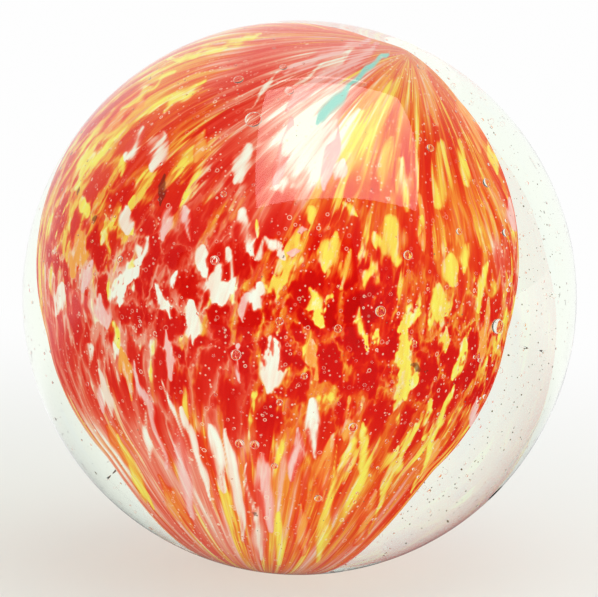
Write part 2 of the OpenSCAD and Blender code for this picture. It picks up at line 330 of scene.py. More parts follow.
# %% Places of the flecks
WHITE = [
    (-11, 13, -11.8, 10.4, 1.3), (-4, 12, -5.2, 9.3, 1.2), (-14, 7.2, -13.9, 5.1, 1.2),
    (-12.2, 4.8, -12.6, 3, 1.1), (-12.8, 3.2, -13, 2.4, 0.9), (-13, 2.4, -13.9, 0.9, 0.9),
    (-13.9, 0.9, -14.6, 0.1, 0.9), (-14.6, 0.1, -14.4, -0.6, 0.8), (-7.8, 4.2, -7.7, 1.8, 0.8),
    (-5.7, 3.8, -5.4, 0.6, 0.9), (-6.6, 2.4, -6.5, -0.4, 1.9), (-4.6, 7, -3.8, 3.5, 1),
    (-2.6, 5, -3.6, 3.1, 0.8), (-2.6, 5, -1.1, 3.2, 0.8), (-3.4, 1.1, -3.6, -1.1, 1.1),
    (-11.6, 1.2, -10.3, -1.5, 0.8), (-8.8, -0.2, -8.4, -4, 0.9), (-19.2, 1.1, -19.4, -1.4, 0.8),
    (-12.6, 13.6, -13.8, 11, 0.9), (-2, -3.4, -2.3, -7.4, 1.5), (1, -8.2, 1.2, -12.6, 1),
    (-12.5, -9, -11.8, -13, 0.7), (-7, -10.2, -6.1, -15.4, 0.8), (-5.9, -10.6, -4.3, -19.4, 0.8),
    (-17.1, -3.6, -16.8, -5.6, 0.6), (-0.2, 13.8, -1.2, 11.4, 1.1), (-1.3, 9.3, -1.3, 8.5, 1.6),
    (2.9, 14.1, 2.2, 12.4, 0.6), (3.4, 11.2, 3.1, 9.4, 0.7), (-9.3, -9, -7.2, -16.2, 0.7),
    (-16, -5.8, -15, -9.8, 0.5), (-3.4, -16.6, -3, -21, 0.6), (-1.7, 18, -4.5, 14.6, 0.4),
    (-9.8, 2, -10, 0.8, 0.6), (1.2, 18.1, 4.6, 19.9, 0.5), (-0.6, 16.6, 2.4, 19, 0.4),
    (-11, -6.4, -9, -12.4, 0.4), (-4.4, -13, -3.2, -19.6, 0.3),
]
YELLOW = [
    (2.8, 5, 2, 2.2, 1.2), (4, 4, 3.5, 0.8, 1.2), (7.5, 6.1, 7.9, 3, 2), (6.2, 5.1, 6.3, 3.8, 0.6),
    (0.7, 0.8, 1.9, -2.3, 1.2), (4.7, -0.8, 5.2, -4.2, 0.8), (0.8, 7.3, 1, 5.8, 0.7),
    (11.1, 1, 11.3, -2.1, 1.1), (12.1, 3.4, 12.3, 1.1, 1.1), (13.6, 4.6, 13.2, 1.8, 0.8),
    (14.9, 3, 14.1, -1.3, 0.7), (8.4, -1.6, 8.4, -8.2, 1), (11.3, 12.5, 11.3, 7.4, 1.7),
    (13, 12.6, 13.4, 9, 0.8), (8.2, 11, 8.8, 6.9, 0.9), (-16.5, 12.2, -18, 8.6, 0.8),
    (-13.8, 11.6, -14.5, 9.7, 0.7), (-7.5, 17.4, -11, 14.9, 0.8), (-17.3, 7.8, -17.6, 5.9, 0.9),
    (7.9, 18.1, 5.6, 13.3, 0.8), (7.4, 12.8, 6.4, 8.5, 1.2), (10.6, -8, 9.8, -11.5, 0.8),
    (5.3, -10.2, 5, -14.4, 0.8), (7.8, -12.2, 6.6, -15.7, 0.8), (2.3, -15.8, 1.6, -21.1, 0.9),
    (-1.7, -17.4, -1.6, -21.4, 0.7), (-13.8, -13.4, -12.3, -16.6, 0.6), (9.8, 6.5, 9.6, 5.1, 0.5),
    (9.5, -1.1, 7.8, -2.6, 0.9), (-15, -1.8, -14.6, -3.8, 0.6), (13.6, -2.6, 12.4, -6.6, 0.7),
    (11.8, -2.6, 11.5, -4.4, 0.7), (-13.2, 8.2, -13.6, 7, 0.7), (-3.4, 6.4, -3.4, 4.6, 0.4),
    (3.4, 7.6, 4.6, 6.4, 0.6), (-1.8, 4.6, -1.8, 3.9, 0.8), (13.4, 16.2, 14.6, 13.6, 0.5),
    (15.2, 12.6, 15.8, 9.8, 0.5), (-13.9, 5.6, -13.4, 5, 0.7), (-10.5, 18.9, -3, 21.2, 0.5),
    (-14.4, 15, -10, 18.2, 0.4), (-14.6, -11, -11.6, -17, 0.5), (12.6, -7, 9, -15.4, 0.4),
    (9.4, -10.4, 5.4, -19, 0.5), (2.9, -12, 2, -19.6, 0.5),
]
PINK = [
    (5.6, 20.7, -1.4, 18, 1), (6.4, 20.4, 1.2, 16.6, 0.9), (4.2, 19.7, -1, 15.2, 1),
    (-13.4, -5, -10.6, -13.6, 0.6), (-0.6, 14.5, -2, 9, 0.8), (3, 13.6, 2.1, 8.8, 0.8),
    (-16, 0.2, -15.4, -2.4, 0.8), (-15.8, -7, -15.7, -9.1, 0.8), (17, 8.2, 17.4, 5.4, 0.8),
    (-9.9, -10.6, -8.6, -17.8, 0.9), (-3, -12.6, -2.4, -18.6, 1.2), (-16.6, 2.9, -17.4, 0.6, 0.7),
    (-10.4, 7.4, -11, 4.6, 0.7), (-9.3, 7.4, -8.8, 4.6, 0.9), (-4.2, 0, -4.5, -1.9, 1),
    (14.4, -8, 13.6, -10.6, 0.7), (-10.8, -2.6, -10.2, -6.6, 0.7), (-5, -3.8, -4.8, -6.6, 0.7),
    (0, -10.6, -0.6, -14.6, 0.8), (0.3, 5.5, 0.3, 5.1, 0.6), (-0.4, 3.9, -0.4, 3.5, 0.7),
]
ORANGE = [
    (7, 18, 5, 15.2, 1), (9.6, 19.2, 11, 13.9, 1.2), (12.5, 17, 14.4, 11.8, 1.1),
    (-17.6, 5.8, -18, 1.8, 1), (2.6, -11, 1.8, -16.2, 1.1), (6, -15.4, 4.6, -19.8, 1.1),
    (-11.2, -14.4, -8.5, -19, 0.8), (-15.4, -10.2, -12.8, -14.7, 0.8), (9.6, 8.2, 9.8, 3.8, 0.9),
    (-12, 17, -15.6, 13.4, 1), (15.2, -0.2, 14.4, -5, 0.8), (0.8, -3.4, 1.4, -6.6, 1),
    (4, -7.8, 3.6, -11.4, 0.9), (-7.6, 13.4, -8.3, 11, 0.8), (-14.4, -3.8, -13.4, -8.2, 0.8),
    (0, -16.6, 0.2, -20.6, 0.9), (11.2, -11.4, 9.6, -14.6, 0.9),
]
TEAL = [(7.1, 19.7, 3.6, 16.8, 0.5), (4, 17.1, 1.5, 14, 1.1)]
SOOT = [
    (-3.8, -17.2, -3.3, -17.6, 0.4), (-1.2, 3.5, -1.1, 3.2, 0.4), (9, -5.4, 10, -5.7, 0.7),
    (-10.9, 9.9, -11, 7.4, 0.6), (-17.6, 8.9, -17.8, 8.1, 0.5), (-16.4, 6.6, -16.6, 6, 0.4),
]
STROKES = {
    "white": WHITE, "yellow": YELLOW, "pink": PINK, "orange": ORANGE, "teal": TEAL, "soot": SOOT
}
END_SHARE = 0.35
OUTSIDE = -2.0
TEAR, TEARS_ACROSS, TEARS_UP, TEAR_LAYER = 0.4, 1.1, 0.5, 3
TEAR_SEED = 7
# Left alone, this noise takes its seed from the clock
noise.seed_set(TEAR_SEED)


def torn(places):
    """Shifts every place a little this way or that, so that straight strokes get torn edges."""
    shifts = [noise.noise_vector((TEARS_ACROSS * x, TEARS_UP * z, TEAR_LAYER)) for x, z in places]
    return places + TEAR * np.array(shifts)[:, :2]


def depth_in(strokes, places):
    """How deep each of the places in view lies in the nearest stroke."""
    best = np.full(len(places), OUTSIDE)
    for x1, z1, x2, z2, width in strokes:
        start, span = np.array([x1, z1]), np.array([x2 - x1, z2 - z1])
        along = np.clip((places - start) @ span / (span @ span), 0, 1)
        half = width / 2 * (END_SHARE + (1 - END_SHARE) * np.sin(math.pi * along))
        gap = np.linalg.norm(places - start - along[:, None] * span, axis=1)
        best = np.maximum(best, np.where(shown, 1 - gap / half, OUTSIDE))
    return best


def store(thing, name, values):
    """Keeps one number or one vector at each point of a mesh, for its material."""
    kind, key = ("FLOAT", "value") if values.ndim == 1 else ("FLOAT_VECTOR", "vector")
    layer = thing.data.attributes.new(name, kind, "POINT")
    layer.data.foreach_set(key, values.astype(np.float32).ravel())


ragged = torn(seen)
store(core, "flow", flow)
for colour, strokes in STROKES.items():
    store(core, colour, depth_in(strokes, ragged))
print({colour: len(strokes) for colour, strokes in STROKES.items()})

# %% [markdown]
# ## Broad changes of colour
# Between the flecks the red isn't even. It is dense and clotted along the belt, thin enough to
# glow orange or salmon towards the poles, pinker on the left and more orange on the right. Each
# patch is a soft round stain: where it is seen, its reach, and how much it adds.

# %% Stains
THICK = [
    (5.9, -2.2, 2.6, 0.6), (-9, 4, 5, 0.15), (-3, -3, 5, 0.15), (3, 2, 6, 0.24), (4, 0.5, 3, 0.55),
    (4.2, 12, 2.8, -0.25), (-12, -9, 4, 0.15), (-18.5, 3, 5, -0.35), (17, 1, 4, -0.3),
    (0.4, 13, 3.8, -0.45), (1.2, 9.4, 3, -0.25), (-6, 13.5, 3.2, 0.35), (-6.5, 9, 3, 0.3),
    (-3.5, 18, 2.6, 0.3), (9.5, 16, 4, -0.1), (10.2, 11.5, 3.2, 0.45), (-2, -18, 8, -0.12),
    (-3, -9.3, 1.6, 0.5), (-15, 11, 7, -0.12), (16.5, 6, 4, -0.15), (-14, -12, 5, -0.38),
    (-17, 12, 3, -0.3), (-12, 17, 3, -0.3), (-6, 20.5, 3, -0.3), (14, 13, 4, -0.2),
    (6, 13, 3, -0.2), (-2, 18, 12, -0.08), (2, -4, 7, 0.06),
]
ORANGER = [
    (11, 12, 8, 0.7), (6, 3, 7, 0.25), (-1, 13, 5, -0.8), (-9, 2, 7, -0.25), (-16, 9, 6, 0.5),
    (-12, 16, 5, 0.7), (-4, -14, 7, -0.15), (6, -13, 7, 0.5), (14, -4, 6, 0.3),
    (-16, -4, 5, -0.1), (2, 17, 3, -0.5),
]
BELT_PLACE, BELT_REACH = 0.52, 0.2
LEAST_THICKNESS = 0.75
ORANGE_START, ORANGE_CHANGE = 0.45, 0.15


def stained(stains, start):
    """A value at each point of the core, changed where the stains are seen."""
    total = start.copy()
    for x, z, reach, amount in stains:
        gap = np.linalg.norm(seen - np.array([x, z]), axis=1)
        total += np.where(shown, amount * np.exp(-((gap / reach) ** 2)), 0)
    return total


belt = np.exp(-(((pole_share - BELT_PLACE) / BELT_REACH) ** 2))
thick = stained(THICK, LEAST_THICKNESS + (1 - LEAST_THICKNESS) * belt)
store(core, "belt", belt)
store(core, "thick", thick)
store(core, "oranger", stained(ORANGER, ORANGE_START + ORANGE_CHANGE * np.sin(2 * turn + 1)))
print(f"the red's mean thickness is {thick.mean():.2f}")

# %% [markdown]
# ## Helpers for the materials
# Materials are node trees. A few short helpers place a node, join it up and name what it is for,
# so that each material below reads as a list of steps.

# %% Node helpers
PLAIN_WHITE = (1, 1, 1, 1)


def place(tree, kind, inputs=None, **settings):
    """A new node with its settings, and with its inputs set to a number or joined to a socket."""
    made = tree.nodes.new(kind)
    for key, value in settings.items():
        setattr(made, key, value)
    for key, value in (inputs or {}).items():
        if isinstance(value, bpy.types.NodeSocket):
            tree.links.new(value, made.inputs[key])
        else:
            made.inputs[key].default_value = value
    return made


def maths(tree, operation, *values):
    made = place(tree, "ShaderNodeMath", dict(enumerate(values)), operation=operation)
    return made.outputs[0]


def rest_of(tree, value):
    """What is left of 1."""
    return maths(tree, "SUBTRACT", 1, value)


def swing(tree, value, amount, base, middle=0.5):
    """Adds a noise's swing about its middle to a base."""
    return maths(tree, "MULTIPLY_ADD", maths(tree, "SUBTRACT", value, middle), amount, base)


def blend(tree, share, first, second):
    """Two colours mixed by a share."""
    made = place(tree, "ShaderNodeMix", {0: share, 6: first, 7: second}, data_type="RGBA")
    return made.outputs[2]


def between(tree, value, first, last, low=0.0, high=1.0, course="LINEAR"):
    """Runs from the first result to the last as the value goes from low to high."""
    return place(tree, "ShaderNodeMapRange", {
        0: value, 1: low, 2: high, 3: first, 4: last
    }, interpolation_type=course).outputs[0]


def step_up(tree, value, low, high, first=0.0, last=1.0):
    """The same, with a smooth start and end."""
    return between(tree, value, first, last, low, high, "SMOOTHSTEP")


def place_on(tree):
    """The place on the piece, in its own metres."""
    return place(tree, "ShaderNodeTexCoord").outputs["Object"]


def matte(tree, colour, roughness, shine=0.0):
    return place(tree, "ShaderNodeBsdfPrincipled", {
        "Base Color": colour, "Roughness": roughness, "Specular IOR Level": shine
    })


def glow(tree, strength, colour=PLAIN_WHITE):
    return place(tree, "ShaderNodeEmission", {"Color": colour, "Strength": strength})


def finish_with(tree, shader):
    place(tree, "ShaderNodeOutputMaterial", {"Surface": shader.outputs[0]})


def colour_of(red, green, blue):
    """A colour as a screen shows it, from 0 to 255, turned into the renderer's own numbers."""
    def linear(c):
        c /= 255
        return c / 12.92 if c <= 0.04045 else ((c + 0.055) / 1.055) ** 2.4
    return (linear(red), linear(green), linear(blue), 1)


def new_material(name):
    made = bpy.data.materials.new(name)
    made.use_nodes = True
    made.node_tree.nodes.clear()
    return made, made.node_tree


def new_group(name, inputs, outputs):
    """A shader node group with named sockets, and its two end nodes."""
    group = bpy.data.node_groups.new(name, "ShaderNodeTree")
    for way, sockets in (("INPUT", inputs), ("OUTPUT", outputs)):
        for socket, kind in sockets.items():
            group.interface.new_socket(socket, in_out=way, socket_type="NodeSocket" + kind)
    return group, group.nodes.new("NodeGroupInput"), group.nodes.new("NodeGroupOutput")


def use(tree, group, **inputs):
    """What a group puts out when it is placed in a material."""
    return place(tree, "ShaderNodeGroup", inputs, node_tree=group).outputs


# %% [markdown]
# ## The mosaic's material
# Real red glass colours by filtering: the pale chips under it show through thin red glass as
# pink, salmon or orange, and through thick glass as deep red. So the material keeps two things
# apart, the pale glass below and the thickness of red above, and one group lets the first through
# the second. A second group draws the chips and streaks, all in the flow coordinates: clots with
# pale gaps along the belt, and soft streaks towards the poles.

# %% Group: drawn-out chips
# Each noise's scale, detail, stretch and shift
NOISES = {
    "Warp": (1.3, 3, (1, 1, 0.8), (3, 3, 3)),
    "Streaks": (1.0, 3, (1.9, 1.9, 0.35), (5, 3, 1)),
    "Grain": (4.5, 3, (1, 1, 0.6), (2, 7, 4)),
    "Brush": (1.0, 2, (3.4, 3.4, 0.7), (6, 2, 8)),
    "Broad": (1.2, 3, (1, 1, 0.8), (9, 1, 6)),
}
NOISE_ROUGHNESS = 0.6
WARP = 1.2
CHIP_SCALE = 1.0
GAP_WIDTH = 0.28
GAP_CHANGE = 0.9


def chips_group():
    outputs = ("Streaks", "Grain", "Brush", "Broad", "Kind", "Bulge")
    group, start, end = new_group(
        "Drawn chips", {"Flow": "Vector"}, {name: "Float" for name in outputs}
    )
    flow_in = start.outputs["Flow"]

    def flow_noise(name, output="Fac"):
        scale, detail, stretch, shift = NOISES[name]
        stretched = place(
            group, "ShaderNodeVectorMath", {0: flow_in, 1: stretch}, operation="MULTIPLY"
        )
        shifted = place(group, "ShaderNodeVectorMath", {0: stretched.outputs[0], 1: shift})
        return place(group, "ShaderNodeTexNoise", {
            "Vector": shifted.outputs[0], "Scale": scale, "Detail": detail,
            "Roughness": NOISE_ROUGHNESS,
        }).outputs[output]

    centred = place(group, "ShaderNodeVectorMath", {
        0: flow_noise("Warp", "Color"), 1: (0.5, 0.5, 0.5)
    }, operation="SUBTRACT")
    warped = place(group, "ShaderNodeVectorMath", {
        0: centred.outputs[0], 1: (WARP, WARP, WARP), 2: flow_in
    }, operation="MULTIPLY_ADD").outputs[0]
    cells = {"Vector": warped, "Scale": CHIP_SCALE}
    edges = place(group, "ShaderNodeTexVoronoi", cells, feature="DISTANCE_TO_EDGE")
    kinds = place(group, "ShaderNodeTexVoronoi", cells)
    made = {name: flow_noise(name) for name in ("Streaks", "Grain", "Brush", "Broad")}
    kind = place(group, "ShaderNodeSeparateColor", {0: kinds.outputs["Color"]})
    made["Kind"] = kind.outputs[0]
    # The gaps between chips are wide in one region and closed in another
    widened = maths(group, "SUBTRACT", 0.5, made["Broad"])
    off_edge = maths(group, "MULTIPLY_ADD", widened, GAP_CHANGE, edges.outputs["Distance"])
    made["Bulge"] = step_up(group, off_edge, 0.0, GAP_WIDTH)
    for name, socket in made.items():
        group.links.new(socket, end.inputs[name])
    return group


CHIPS = chips_group()

# %% Group: pale glass seen through red
RED_GLASS = (0.895, 0.155, 0.105)
MILKINESS = (0.0, 0.005, 0.004)


def filter_group():
    group, start, end = new_group(
        "Through red glass", {"Pale": "Color", "Thickness": "Float"}, {"Colour": "Color"}
    )
    parts = [maths(group, "POWER", part, start.outputs["Thickness"]) for part in RED_GLASS]
    red = place(group, "ShaderNodeCombineXYZ", dict(enumerate(parts)))
    through = place(group, "ShaderNodeVectorMath", {
        0: start.outputs["Pale"], 1: red.outputs[0], 2: MILKINESS
    }, operation="MULTIPLY_ADD")
    group.links.new(through.outputs[0], end.inputs["Colour"])
    return group


FILTER = filter_group()

# %% Group: painted glints of the seeds just over the mosaic
SEEDS_PER_METRE = 1500
SEED_RADII = (0.05, 0.22)
RING_SOFTNESS = (0.01, 0.065)
RING_LIGHTS = (0.7, 0.1)
DOTS_PER_METRE = 3200
DOT_SHARE, DOT_LIGHT = 0.4, 0.6
DOT_SOFTNESS = (0.12, 0.3)
SWARMS_PER_METRE = 260
SWARM_EDGE = (0.4, 0.6)
CALM_LIGHT = 0.15


def painted_seed_glints_group():
    """Painted highlights of tiny bubbles: bright rings where small balls would cut the surface,
    and finer dots.
    """
    group, start, end = new_group("Painted seed glints", {"Place": "Vector"}, {"Light": "Float"})
    where = start.outputs["Place"]

    def cells(per_metre):
        """Each cell's distance from its middle, and its three random numbers."""
        made = place(group, "ShaderNodeTexVoronoi", {"Vector": where, "Scale": per_metre}).outputs
        luck = place(group, "ShaderNodeSeparateColor", {0: made["Color"]}).outputs
        return made["Distance"], luck

    distance, luck = cells(SEEDS_PER_METRE)
    radius = between(group, luck[0], *SEED_RADII)
    off_ring = maths(group, "ABSOLUTE", maths(group, "SUBTRACT", distance, radius))
    ring = rest_of(group, step_up(group, off_ring, *RING_SOFTNESS))
    ring = maths(group, "MULTIPLY", ring, maths(group, "MULTIPLY_ADD", luck[1], *RING_LIGHTS))
    distance, luck = cells(DOTS_PER_METRE)
    few = maths(group, "LESS_THAN", luck[0], DOT_SHARE)
    dot = rest_of(group, step_up(group, distance, *DOT_SOFTNESS))
    dot = maths(group, "MULTIPLY", dot, maths(group, "MULTIPLY", few, DOT_LIGHT))
    # They come in swarms, with calmer glass between
    swarms = place(group, "ShaderNodeTexNoise", {
        "Vector": where, "Scale": SWARMS_PER_METRE, "Detail": 2.0
    }).outputs["Fac"]
    swarm = step_up(group, swarms, *SWARM_EDGE)
    swarm = maths(group, "MULTIPLY_ADD", swarm, 1 - CALM_LIGHT, CALM_LIGHT)
    light = maths(group, "MULTIPLY", maths(group, "MAXIMUM", ring, dot), swarm)
    group.links.new(light, end.inputs["Light"])
    return group


PAINTED_SEED_GLINTS = painted_seed_glints_group()

# %% The pale glass below
IVORY = colour_of(253, 251, 242)
LEMON = colour_of(253, 236, 100)
ROSE = colour_of(253, 200, 198)
TANGERINE = colour_of(253, 172, 80)
BODIES = {"orange": TANGERINE, "pink": ROSE, "yellow": LEMON, "white": IVORY}
LEMON_BY_BROAD, LEMON_BY_STREAKS, LEMON_EDGE = 1.4, 1.6, (0.3, 0.6)
BODY_EDGE = (-0.7, 0.0)
CREAM_EDGE, CREAM_SHARE = (0.5, 0.7), 0.5


def kept(tree, name, output="Fac"):
    """What the core's points store under a name."""
    return place(tree, "ShaderNodeAttribute", attribute_name=name).outputs[output]


def pale_glass(tree, chips, depths):
    """Ivory or lemon by region and streak, with the strokes' own colours and a little cream."""
    lemon = swing(tree, chips["Broad"], LEMON_BY_BROAD, kept(tree, "oranger"))
    lemon = swing(tree, chips["Streaks"], LEMON_BY_STREAKS, lemon)
    pale = blend(tree, step_up(tree, lemon, *LEMON_EDGE), IVORY, LEMON)
    for name, body in BODIES.items():
        pale = blend(tree, step_up(tree, depths[name], *BODY_EDGE), pale, body)
    creamy = maths(tree, "MULTIPLY", step_up(tree, chips["Grain"], *CREAM_EDGE), CREAM_SHARE)
    return blend(tree, creamy, pale, IVORY)


# %% Openings in the red
NO_OPENING = -0.6
CHANCE_LEVEL, CHANCE_SLOPE = 0.645, 11
STREAK_LEVEL, STREAK_SLOPE, STREAK_START = 0.57, 9, -0.9
OPEN_BY_BULGE, OPEN_BY_STREAKS, STREAKS_MIDDLE = -0.95, 2.4, 0.56
OPEN_BY_BRUSH_OFF_BELT, OPEN_BY_BRUSH = 1.6, 0.3
BLUR_OFF_BELT, BLUR_START = 0.7, -0.16
CRISP_REACH, CRISP_START = 2.2, 0.08
FULL_BELOW, FULL_REACH, FULL_START = -0.9, 0.9, 0.1
THIN_EDGE = 0.14


def opening_depth(tree, chips, depths, off_belt):
    """Above 0 in an opening: the front's strokes, and others that chance makes."""
    opening = NO_OPENING
    for name in BODIES:
        opening = maths(tree, "MAXIMUM", opening, depths[name])
    over = maths(tree, "SUBTRACT", chips["Broad"], CHANCE_LEVEL)
    opening = maths(tree, "MAXIMUM", opening, maths(tree, "MULTIPLY", over, CHANCE_SLOPE))
    over = maths(tree, "SUBTRACT", chips["Streaks"], STREAK_LEVEL)
    over = maths(tree, "MULTIPLY", over, STREAK_SLOPE)
    over = maths(tree, "MULTIPLY_ADD", over, off_belt, STREAK_START)
    opening = maths(tree, "MAXIMUM", opening, over)
    opening = swing(tree, chips["Bulge"], OPEN_BY_BULGE, opening)
    opening = swing(tree, chips["Streaks"], OPEN_BY_STREAKS, opening, STREAKS_MIDDLE)
    brushed = maths(tree, "MULTIPLY_ADD", off_belt, OPEN_BY_BRUSH_OFF_BELT, OPEN_BY_BRUSH)
    return swing(tree, chips["Brush"], brushed, opening)


def closed_share(tree, opening, off_belt):
    """The red starts at a crisp edge and takes its full thickness a little farther out."""
    blur = maths(tree, "MULTIPLY_ADD", off_belt, BLUR_OFF_BELT, BLUR_START)
    crisp = rest_of(tree, step_up(
        tree, opening, maths(tree, "SUBTRACT", 0, blur),
        maths(tree, "MULTIPLY_ADD", blur, CRISP_REACH, CRISP_START)
    ))
    full = rest_of(tree, step_up(
        tree, opening, FULL_BELOW, maths(tree, "MULTIPLY_ADD", blur, FULL_REACH, FULL_START)
    ))
    full = maths(tree, "MULTIPLY_ADD", full, 1 - THIN_EDGE, THIN_EDGE)
    return maths(tree, "MULTIPLY", crisp, full)


# %% The thickness of the red
OFF_BELT_FROM = 1.3
RED_BY_KIND, RED_BY_BULGE, RED_IN_BELT = 1.3, 1.5, 0.4
RED_BY_STREAKS, RED_OFF_BELT = 2.8, -0.16
RED_BY_THICK, RED_START = 2.4, -0.42
RED_BY_BRUSH, RED_BY_GRAIN = 0.6, 0.5
STAIN_EDGE, STAIN_AMOUNT = (0.45, 0.65), 0.12


def red_thickness(tree, chips, depths):
    """Chips of many kinds along the belt, and streaks towards the poles."""
    in_belt = kept(tree, "belt")
    off_belt = maths(tree, "SUBTRACT", OFF_BELT_FROM, in_belt)
    closed = closed_share(tree, opening_depth(tree, chips, depths, off_belt), off_belt)
    by_chips = swing(tree, chips["Bulge"], RED_BY_BULGE, RED_IN_BELT)
    by_chips = swing(tree, chips["Kind"], RED_BY_KIND, by_chips)
    by_streaks = swing(tree, chips["Streaks"], RED_BY_STREAKS, RED_OFF_BELT)
    thickness = maths(tree, "MULTIPLY_ADD", kept(tree, "thick"), RED_BY_THICK, RED_START)
    thickness = maths(tree, "MULTIPLY_ADD", by_chips, in_belt, thickness)
    thickness = maths(tree, "MULTIPLY_ADD", by_streaks, off_belt, thickness)
    thickness = swing(tree, chips["Brush"], RED_BY_BRUSH, thickness)
    thickness = swing(tree, chips["Grain"], RED_BY_GRAIN, thickness)
    thickness = maths(tree, "MULTIPLY", maths(tree, "MAXIMUM", thickness, 0.0), closed)
    # Even an opening keeps a faint stain in places
    stain = maths(tree, "MULTIPLY", step_up(tree, chips["Streaks"], *STAIN_EDGE), STAIN_AMOUNT)
    return maths(tree, "ADD", thickness, stain)


# %% The mosaic's material
TEAL_GLASS = colour_of(150, 218, 210)
TEAL_BY_STREAKS, TEAL_EDGE = 0.5, (-0.4, 0.6)
BROWN = colour_of(92, 38, 24)
SOOT_BY_GRAIN, SOOT_EDGE, SOOT_SHARE = 3.0, (-0.1, 0.5), 0.7
# The colour of the painted bubble highlights, mixed into the mosaic's colour
SEED_GLINT_PAINT = colour_of(255, 236, 214)


def mosaic_material():
    made, tree = new_material("mosaic glass")
    chips = use(tree, CHIPS, Flow=kept(tree, "flow", "Vector"))
    depths = {name: kept(tree, name) for name in STROKES}
    colour = use(
        tree, FILTER, Pale=pale_glass(tree, chips, depths),
        Thickness=red_thickness(tree, chips, depths),
    )["Colour"]
    teal = swing(tree, chips["Streaks"], TEAL_BY_STREAKS, depths["teal"])
    colour = blend(tree, step_up(tree, teal, *TEAL_EDGE), colour, TEAL_GLASS)
    soot = swing(tree, chips["Grain"], SOOT_BY_GRAIN, depths["soot"])
    soot = maths(tree, "MULTIPLY", step_up(tree, soot, *SOOT_EDGE), SOOT_SHARE)
    colour = blend(tree, soot, colour, BROWN)
    # Painted highlights: the tiny bubbles' bright rims and dots are mixed into the base colour
    seed_glints = use(tree, PAINTED_SEED_GLINTS, Place=place_on(tree))["Light"]
    finish_with(tree, matte(tree, blend(tree, seed_glints, colour, SEED_GLINT_PAINT), 0.6))
    return made


core.data.materials.append(mosaic_material())
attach(core, "root")
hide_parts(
    "white_core", "red_skin", "pink_flecks", "orange_flecks", "yellow_flecks", "teal_streak"
)
print("the mosaic core is dressed")

# %% [markdown]
# ## The clear casing
# The casing is thick clear glass with a faint green cast. An icosphere gives a round ball with
# even faces. A shell-shaped flake is missing low on the right, so the points there are pushed in
# onto a small sphere, after the faces round it are made finer.

# %% The casing's ball and its chip
CHIP_WAY = unit([0.7, -0.12, -0.7])
CHIP_WIDTH, CHIP_DEPTH = 1.6, 0.3
BALL_SUBDIVISIONS, CHIP_CUTS = 7, 2


def make_casing():
    bm = bmesh.new()
    bmesh.ops.create_icosphere(bm, subdivisions=BALL_SUBDIVISIONS, radius=BALL_R * MM)
    way = Vector(to_object(CHIP_WAY)).normalized()
    round_it = [
        e for e in bm.edges if (e.verts[0].co - way * BALL_R * MM).length < CHIP_WIDTH * MM
    ]
    bmesh.ops.subdivide_edges(bm, edges=round_it, cuts=CHIP_CUTS, use_grid_fill=True)
    bmesh.ops.triangulate(bm, faces=[f for f in bm.faces if len(f.verts) > 3])
    radius = (CHIP_WIDTH ** 2 / 4 + CHIP_DEPTH ** 2) / (2 * CHIP_DEPTH) * MM
    middle = way * (BALL_R * MM + radius - CHIP_DEPTH * MM)
    for v in bm.verts:
        v.co = v.co.normalized() * BALL_R * MM
        if (v.co - middle).length < radius:
            v.co = middle + (v.co - middle).normalized() * radius
    return finished(bm, "clear_casing")


casing = make_casing()
print(f"casing: {len(casing.data.polygons)} faces")

# %% [markdown]
# ## Glass that lets the light in
# A renderer's lamps can't find their way through glass that bends light, so the core would lie in
# the dark. The usual answer is to let lamps' rays straight through: the shader is glass for the
# camera and clear for rays that test for shadow.

# %% The glass material
GLASS_TINT = (0.945, 1.0, 0.885, 1)
STREAK_TINT = (0.9, 0.975, 0.92, 1)
LAMP_TINT = (0.97, 0.985, 0.97, 1)
WAVES_PER_METRE, WAVE_STRENGTH, WAVE_HEIGHT = 160.0, 0.15, 0.00005
STREAKS_PER_METRE, STREAK_TWIST, STREAK_EDGE = 260.0, 0.6, (0.5, 0.72)
STREAK_LEAN, STREAK_STRETCH = (0.3, -0.5, 0), (1, 1, 0.16)


def finish_as_glass(tree, settings, lamp_tint=PLAIN_WHITE):
    """Ends a material: glass for what is seen, and clear for rays that test for shadow."""
    glass = place(tree, "ShaderNodeBsdfPrincipled", {
        "Roughness": 0.0, "Transmission Weight": 1.0, **settings
    })
    clear = place(tree, "ShaderNodeBsdfTransparent", {"Color": lamp_tint})
    finish_with(tree, place(tree, "ShaderNodeMixShader", {
        0: place(tree, "ShaderNodeLightPath").outputs["Is Shadow Ray"],
        1: glass.outputs[0], 2: clear.outputs[0],
    }))


def casing_material():
    made, tree = new_material("clear casing glass")
    waves = place(tree, "ShaderNodeTexNoise", {
        "Vector": place_on(tree), "Scale": WAVES_PER_METRE, "Detail": 2.0
    })
    bump = place(tree, "ShaderNodeBump", {
        "Height": waves.outputs["Fac"], "Strength": WAVE_STRENGTH, "Distance": WAVE_HEIGHT
    })
    # Faint streaks in the tint, as in glass that was stirred by hand
    drawn = place(tree, "ShaderNodeMapping", {
        "Vector": place_on(tree), "Rotation": STREAK_LEAN, "Scale": STREAK_STRETCH
    })
    stirred = place(tree, "ShaderNodeTexNoise", {
        "Vector": drawn.outputs[0], "Scale": STREAKS_PER_METRE, "Detail": 3.0,
        "Distortion": STREAK_TWIST,
    }).outputs["Fac"]
    tint = blend(tree, step_up(tree, stirred, *STREAK_EDGE), GLASS_TINT, STREAK_TINT)
    finish_as_glass(tree, {
        "Base Color": tint, "IOR": GLASS_INDEX, "Normal": bump.outputs[0]
    }, LAMP_TINT)
    return made


casing.data.materials.append(casing_material())
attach(casing, "root")
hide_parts("clear_glass")

# %% [markdown]
# ## Bubbles
# Handmade glass is full of seeds: a few dozen bubbles that the eye can pick out, and hundreds of
# tiny ones, most of them just over the mosaic. On the real object each is a clear disc with a
# bright rim, because its wall catches light from all sides. A true bubble in a flawless ball would
# render black. So each bubble is a small closed ball of its own, of glass that bends light faintly,
# with a sheen that brightens its rim.

